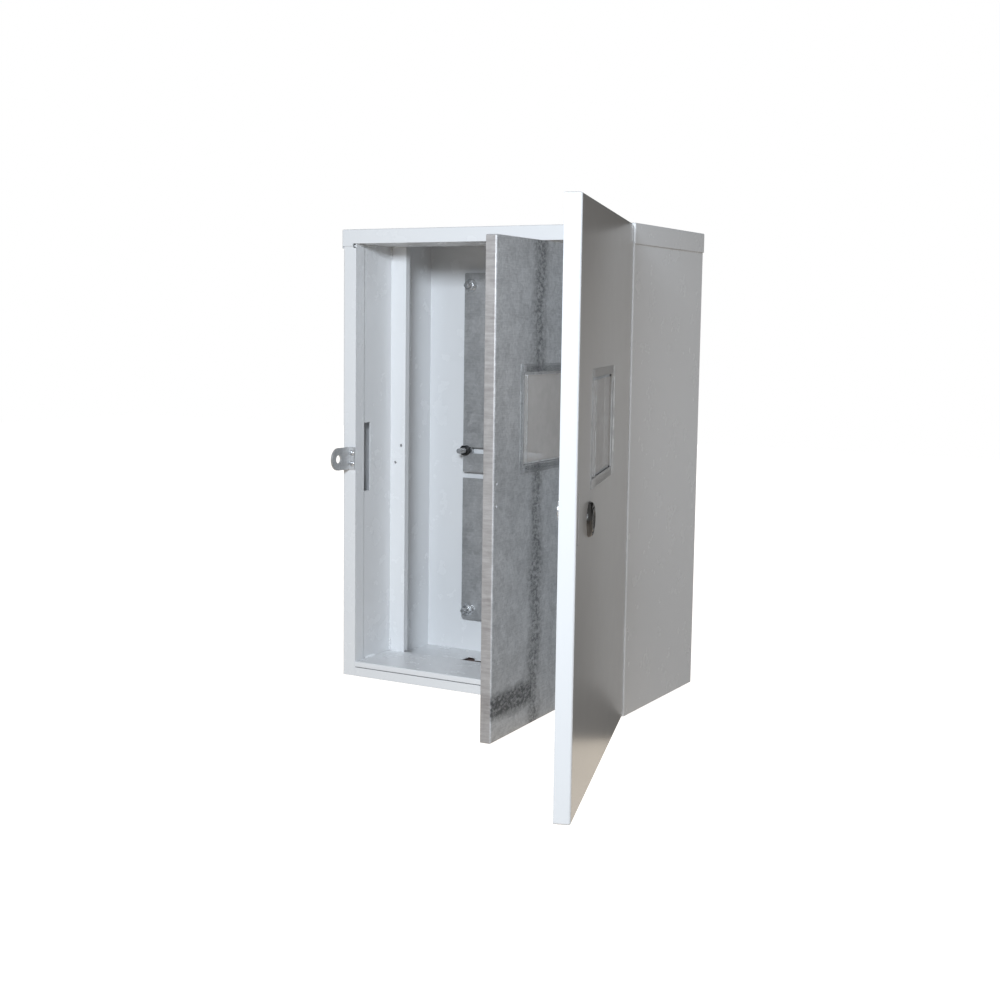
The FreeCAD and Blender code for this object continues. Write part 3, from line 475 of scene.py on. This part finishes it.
def finished(name, meshes, axis, starts, material, body, replaced=(), on_outer_door=False):
    """Sets one mesh at each start point along an axis, joined as one piece that rides on a body."""
    whole = bmesh.new()
    for mesh, start in zip(meshes, starts):
        turn = ALONG[axis] if axis else Matrix.Identity(4)
        place = Matrix.Translation(Vector(start)) @ turn
        if on_outer_door:
            swing = Matrix.Rotation(math.radians(OUTER_OPEN_DEG), 4, "Z")
            place = Matrix.Translation(OUTER_PIVOT) @ swing @ Matrix.Translation(-OUTER_PIVOT) @ place
        mesh.transform(Matrix.Scale(MM, 4) @ Matrix.Translation(-ORIGIN) @ place)
        part = bpy.data.meshes.new("part")
        mesh.to_mesh(part)
        mesh.free()
        whole.from_mesh(part)
        bpy.data.meshes.remove(part)
    bmesh.ops.recalc_face_normals(whole, faces=whole.faces)
    for face in whole.faces:
        face.smooth = True
    data = bpy.data.meshes.new(name)
    whole.to_mesh(data)
    whole.free()
    data.set_sharp_from_angle(angle=math.radians(32))
    piece = bpy.data.objects.new(name, data)
    bpy.context.scene.collection.objects.link(piece)
    give(piece, material)
    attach(piece, body)
    if replaced:
        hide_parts(*replaced)
    return piece


STUD_PLACES = [(x, z) for x in (56.6, 259.4) for z in (48.9, 399.7)]
STUD_TIP = 143.0
PLATE_FRONT = 155.0


M6_RADIUS = 3.0
M6_PITCH = 1.0
M6_BORE = 2.95
M6_FLATS = 10.0


def plate_fixings():
    nut_height, flange_radius = 6.0, 7.0
    finished(
        "plate_studs_threaded", [threaded(M6_RADIUS, 20.0, M6_PITCH, 1.0) for _ in STUD_PLACES], "y",
        [(x, STUD_TIP, z) for x, z in STUD_PLACES], ZINC, "cabinet", ["plate_studs"],
    )
    nuts = [hexagonal(M6_FLATS, nut_height, M6_BORE, flange_radius) for _ in STUD_PLACES]
    finished(
        "plate_nuts_flanged", nuts, "y", [(x, PLATE_FRONT - nut_height, z) for x, z in STUD_PLACES],
        ZINC, "cabinet", ["plate_nuts"],
    )


def meter_hanger():
    x, z, tip, shank = 52.8, 223.3, 138.0, 18.5
    head = turned([(0.5, 18.5), (6.3, 18.5), (6.5, 18.7), (6.5, 20.8), (6.3, 21.0), (0.5, 21.0)])
    finished(
        "meter_bolt_threaded", [threaded(M6_RADIUS, shank, M6_PITCH, 0.8), head], "y", [(x, tip, z)] * 2,
        ZINC, "meter_hanger", ["meter_bolt"],
    )
    finished(
        "meter_bolt_nut_black", [hexagonal(M6_FLATS, 5.0, M6_BORE)], "y", [(x, PLATE_FRONT - 6.2, z)],
        BLACK, "meter_hanger", ["meter_bolt_nut"],
    )
    finished(
        "meter_bolt_washer_black", [washer(5.2, 1.2, M6_RADIUS)], "y", [(x, PLATE_FRONT - 1.2, z)],
        BLACK, "meter_hanger", ["meter_bolt_washer"],
    )


def earth_terminal():
    y, z, wall = 110.0, 40.0, 315.0
    finished(
        "earth_stud_threaded", [threaded(M6_RADIUS, 18.0, M6_PITCH, 1.0)], "x", [(wall - 18.0, y, z)],
        ZINC, "cabinet", ["earth_stud"],
    )
    finished(
        "earth_nuts_chamfered", [hexagonal(M6_FLATS, 5.0, M6_BORE) for _ in range(2)], "x",
        [(wall - 5.0, y, z), (wall - 12.4, y, z)], ZINC, "cabinet", ["earth_nuts"],
    )
    finished(
        "earth_washers_rounded", [washer(6.0, 1.2, M6_RADIUS) for _ in range(2)], "x",
        [(wall - 6.2, y, z), (wall - 7.4, y, z)], ZINC, "cabinet", ["earth_washers"],
    )


def lug_rivets():
    head = [
        (0.4, -3.0), (1.4, -2.88), (2.2, -2.55), (2.7, -2.1), (2.8, -1.8), (1.6, -1.8), (1.6, 1.0),
        (2.1, 1.0), (2.1, 2.0), (0.4, 2.0),
    ]
    finished(
        "lug_rivets_domed", [turned(head) for _ in range(2)], "y", [(11.8, 0.0, 217.6), (11.8, 0.0, 228.4)],
        ZINC, "cabinet", ["lug_rivets"],
    )


def lock_face():
    """The lock's body, dished round the plug, with its back nut."""
    profile = [
        (6.05, -17.9), (6.5, -18.6), (7.2, -18.7), (8.6, -18.7), (9.1, -18.2), (9.9, -18.0), (10.6, -18.3),
        (11.6, -18.2), (12.6, -17.5), (13.2, -16.4), (13.4, -15.0), (10.0, -15.0), (10.0, 1.1),
        (9.6, 1.5), (6.05, 1.5),
    ]
    finished(
        "lock_body_dished", [turned(profile, closed=True)], "y", [(65.0, 0.0, 215.0)],
        LOCK_METAL, "outer_door_leaf", ["lock_body"], on_outer_door=True,
    )
    finished(
        "lock_nut_chamfered", [hexagonal(26.0, 5.0, 9.95)], "y", [(65.0, -14.0, 215.0)],
        ZINC, "outer_door_leaf", ["lock_nut"], on_outer_door=True,
    )


def bead(start, end, radius, phase):
    """A run of weld: overlapping drops along a line, tapered at its ends."""
    start, end = Vector(start), Vector(end)
    run = end - start
    steps = max(8, round(run.length * 3))
    side = run.normalized().orthogonal().normalized()
    other = run.normalized().cross(side)
    mesh = bmesh.new()
    loops = []
    for step in range(steps + 1):
        share = step / steps
        taper = math.sqrt(max(0.02, 1.0 - (2.0 * share - 1.0) ** 4))
        swell = 1.0 + 0.22 * math.sin(share * run.length * 2.3 + phase)
        swell += 0.12 * math.sin(share * 41.0 + 2.0 * phase)
        loop = []
        for corner in range(10):
            angle = 2 * math.pi * corner / 10
            reach = radius * taper * swell * (1.0 + 0.10 * math.sin(3 * angle + phase + step * 0.7))
            outward = side * math.cos(angle) + other * math.sin(angle)
            loop.append(mesh.verts.new(start + run * share + reach * outward))
        loops.append(loop)
    for first, second in zip(loops, loops[1:]):
        for corner in range(10):
            after = (corner + 1) % 10
            mesh.faces.new((first[corner], first[after], second[after], second[corner]))
    mesh.faces.new(loops[0])
    mesh.faces.new(loops[-1])
    return mesh


def recess_welds():
    """Uneven beads that join linings and posts to sill and header, and fill the cap's corner reliefs."""
    runs = []
    for number, x in enumerate((14.2, 301.8)):
        inward = 1 if x < ORIGIN.x else -1
        post, edge = x + 0.4 * inward, x + 0.8 * inward
        for z, up in ((15.2, 1), (435.8, -1)):
            phase = 1.7 * number + 0.9 * up
            runs.append(bead((x, 20, z), (x, 38, z), 1.3, phase))
            runs.append(bead((post, 64.4, z), (post, 64.4, z + 13 * up), 1.1, phase + 1.0))
            runs.append(bead((x + 2 * inward, 64.6, z), (x + 11 * inward, 64.6, z), 1.0, phase + 2.0))
        runs.append(bead((edge, 1.5, 435.2), (edge, 14.5, 435.2), 1.2, 0.6 + number))
        runs.append(bead((x - 2.7 * inward, 2.2, 433.9), (x + 0.3 * inward, 2.2, 433.9), 1.3, 2.9 + number))
    finished("recess_welds", runs, None, [(0, 0, 0)] * len(runs), WELD, "cabinet")


# ---------------------------------------------------------------- studio

FLOOR_HEIGHT = CAD_BOX[0][2] - 0.41
FILL_STRENGTH = 0.305
KEY_POWER = 17.8
KEY_SIZE = (0.20, 0.17)
KEY_PLACE = (0.536, -1.438, 0.431)
STUDIO_CENTRE = (0.0, -0.10, 0.0)
# Height on the reflected wall from the bottom up, brightness and warmth.
WALL_BANDS = (
    (-0.63, 0.03, 0.05), (-0.50, 0.06, 0.04), (-0.32, 0.12, 0.02), (-0.12, 0.24, 0.0),
    (0.06, 0.22, 0.02), (0.20, 0.13, 0.06), (0.32, 0.03, 0.10), (0.40, 0.01, 0.10),
)
CAMERA_PLACE = (0.71745, -1.39998, 0.13107)
CAMERA_TURN_DEG = 29.29
CAMERA_TILT_DEG = -6.59
CAMERA_ROLL_DEG = 0.79
CAMERA_LENS = 53.9


def camera():
    """Stands right of the open door and a little above the middle, as a product photographer would."""
    data = bpy.data.cameras.new("camera")
    data.sensor_width = 36.0
    data.lens = CAMERA_LENS
    made = bpy.data.objects.new("camera", data)
    bpy.context.scene.collection.objects.link(made)
    turn = Matrix.Rotation(math.radians(CAMERA_TURN_DEG), 4, "Z")
    tilt = Matrix.Rotation(math.radians(90 + CAMERA_TILT_DEG), 4, "X")
    roll = Matrix.Rotation(math.radians(CAMERA_ROLL_DEG), 4, "Z")
    made.matrix_world = Matrix.Translation(CAMERA_PLACE) @ turn @ tilt @ roll
    bpy.context.scene.camera = made


def area_light(name, place, target, size, power, colour):
    data = bpy.data.lights.new(name, "AREA")
    data.shape = "RECTANGLE"
    data.size, data.size_y = size
    data.energy = power
    data.color = colour
    made = bpy.data.objects.new(name, data)
    bpy.context.scene.collection.objects.link(made)
    aim = (Vector(target) - Vector(place)).to_track_quat("-Z", "Y")
    made.matrix_world = Matrix.Translation(place) @ aim.to_matrix().to_4x4()
    return made


def plane(name, corners, shader):
    mesh = bpy.data.meshes.new(name)
    mesh.from_pydata(corners, [], [(0, 1, 2, 3)])
    made = bpy.data.objects.new(name, mesh)
    bpy.context.scene.collection.objects.link(made)
    give(made, shader.material)
    return made


def floor():
    """Burns out to white where it is seen, and behind the cabinet is a bright tan board in reflections."""
    shader = Shader("studio_floor")
    shader.link(shader.mix(shader.noise(2.0), (0.80, 0.70, 0.60), (0.84, 0.74, 0.63)), "Base Color")
    shader.set(Roughness=0.9)
    rays = shader.node("LightPath").outputs
    split = shader.node("SeparateXYZ")
    shader.feed(split, "Vector", shader.place)
    reflected = shader.math("MULTIPLY", rays["Is Glossy Ray"], shader.ramp(split.outputs["Y"], 0.5, 0.7))
    tan = shader.mix(shader.noise(9.0, 3.0), (0.50, 0.43, 0.34), (0.63, 0.56, 0.46))
    shader.link(shader.mix(rays["Is Camera Ray"], tan, (1.0, 1.0, 1.0)), "Emission Color")
    shader.link(shader.math("MAXIMUM", rays["Is Camera Ray"], reflected), "Emission Strength")
    reach = 8.0
    square = ((-reach, -reach), (reach, -reach), (reach, reach), (-reach, reach))
    corners = [(x, y, FLOOR_HEIGHT) for x, y in square]
    plane("studio_floor", corners, shader)


def reflected_wall():
    """A dim wall behind the cabinet, seen only in its reflections."""
    shader = Shader("reflected_wall")
    split = shader.node("SeparateXYZ")
    shader.feed(split, "Vector", shader.place)
    shader.set(Base_Color=(0.0, 0.0, 0.0, 1.0), Roughness=1.0)
    shader.set(Specular_IOR_Level=0.0, Emission_Strength=1.0)
    drift = shader.ramp(shader.noise(1.5, 2.0), 0.3, 0.7, -0.04, 0.04)
    bottom, top = WALL_BANDS[0][0], WALL_BANDS[-1][0]
    bands = shader.node("ValToRGB")
    shader.feed(bands, "Fac", shader.ramp(shader.math("ADD", split.outputs["Z"], drift), bottom, top))
    marks = bands.color_ramp.elements
    for height, _, _ in WALL_BANDS[1:-1]:
        marks.new((height - bottom) / (top - bottom))
    for mark, (_, value, warmth) in zip(marks, WALL_BANDS):
        mark.color = (*grey(value, warmth), 1.0)
    shader.link(bands.outputs["Color"], "Emission Color")
    left, right, back, low, high = -2.0, 2.5, 1.2, FLOOR_HEIGHT, 1.6
    corners = [(left, back, low), (right, back, low), (right, back, high), (left, back, high)]
    card = plane("reflected_wall", corners, shader)
    card.visible_camera = False
    card.visible_diffuse = False
    card.visible_shadow = False
    card.visible_transmission = False


def shelf_under_opening():
    """Wood that shows through the cable opening: its brown is the floor's wood, and its dark tone is
    painted shade for the shadow under the cabinet; it is not seen from below.
    """
    shader = Shader("wood_with_painted_shade")
    grain = shader.noise(60.0, 4.0, 0.6, shader.stretched((1.0, 8.0, 1.0)))
    # Brown of the wood, darkened as painted shade.
    shader.link(shader.mix(grain, (0.16, 0.11, 0.10), (0.26, 0.19, 0.17)), "Base Color")
    shader.link(shader.math("SUBTRACT", 1.0, shader.node("NewGeometry").outputs["Backfacing"]), "Alpha")
    shader.set(Roughness=0.7)
    low = CAD_BOX[0][2] - 2 * MM
    left, right, front, back = -0.10, 0.10, -0.075, -0.015
    corners = [(left, front, low), (right, front, low), (right, back, low), (left, back, low)]
    plane("wood_with_painted_shade", corners, shader)


def world():
    """White where it is seen directly, and a much weaker even fill on the object."""
    made = bpy.data.worlds.new("studio")
    made.use_nodes = True
    tree = made.node_tree
    background = tree.nodes["Background"]
    background.inputs["Color"].default_value = (1.0, 1.0, 1.0, 1.0)
    seen = tree.nodes.new("ShaderNodeLightPath").outputs["Is Camera Ray"]
    strength = tree.nodes.new("ShaderNodeMapRange")
    tree.links.new(seen, strength.inputs["Value"])
    strength.inputs["To Min"].default_value = FILL_STRENGTH
    strength.inputs["To Max"].default_value = 1.0
    tree.links.new(strength.outputs["Result"], background.inputs["Strength"])
    bpy.context.scene.world = made
    bpy.context.scene.view_settings.view_transform = "Standard"


def lights():
    """A small softbox above and to the left of the lens; the world fills the rest."""
    area_light("key", KEY_PLACE, STUDIO_CENTRE, KEY_SIZE, KEY_POWER, (0.84, 0.915, 1.0))


finish_frame_nodes()
plate_fixings()
meter_hanger()
earth_terminal()
lug_rivets()
lock_face()
recess_welds()
floor()
reflected_wall()
shelf_under_opening()
world()
lights()
camera()
